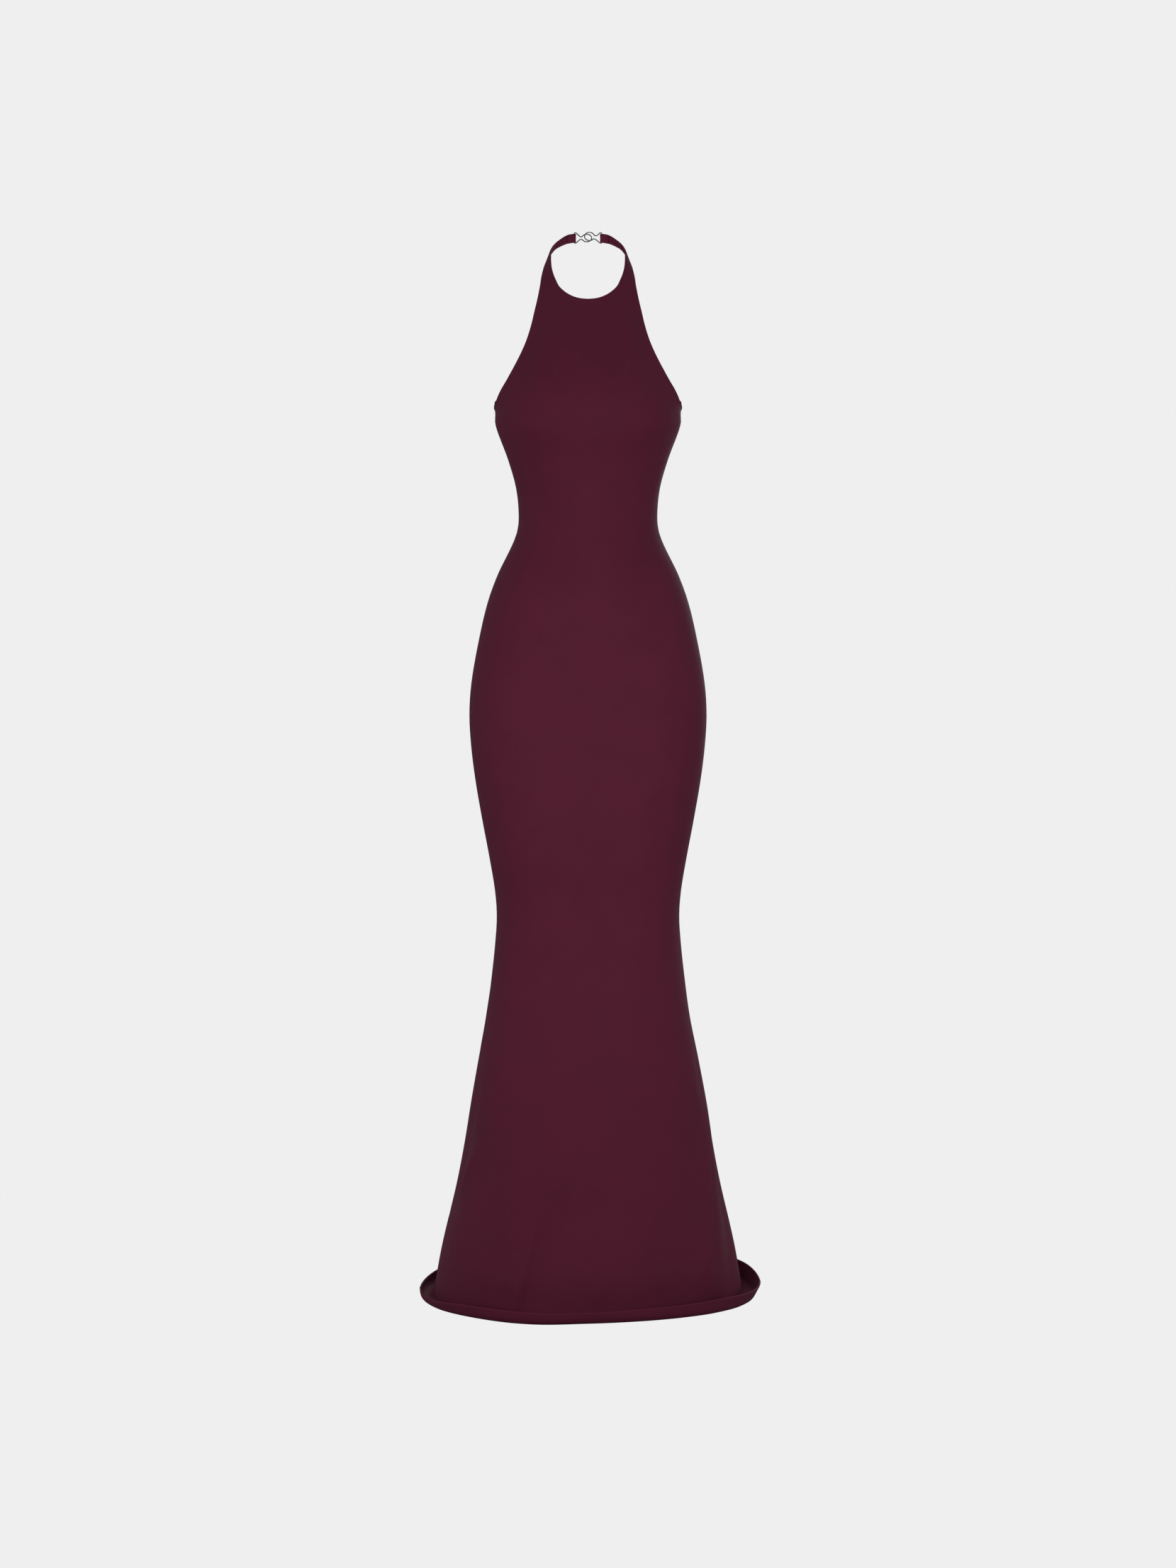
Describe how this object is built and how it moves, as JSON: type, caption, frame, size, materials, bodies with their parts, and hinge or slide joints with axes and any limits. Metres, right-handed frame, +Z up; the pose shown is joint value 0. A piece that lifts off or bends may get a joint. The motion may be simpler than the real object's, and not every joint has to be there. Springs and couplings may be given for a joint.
{
  "type": "halter-neck apron dress",
  "caption": "Floor-length burgundy jersey halter dress with a low open back, flared skirt and an interlocked wire clasp at the nape, filled out with no wearer.",
  "frame": {"origin": "middle of the nape, where the neck loop with its clasp bears on the back of the neck", "axes": "+Z up, -Y towards the front of the dress, +X towards the viewer's right seen from the front"},
  "size_m": [0.4757, 0.4609, 1.4794],
  "materials": {
    "jersey_front": "burgundy viscose and elastane jersey, smooth matt face",
    "jersey_back": "burgundy viscose and elastane jersey, smooth matt face",
    "clasp_wire_left": "polished nickel-plated steel wire",
    "clasp_wire_right": "polished nickel-plated steel wire"
  },
  "bodies": {
    "root": {"front": "jersey_front", "back": "jersey_back", "clasp_left": "clasp_wire_left", "clasp_right": "clasp_wire_right"}
  },
  "joints": []
}
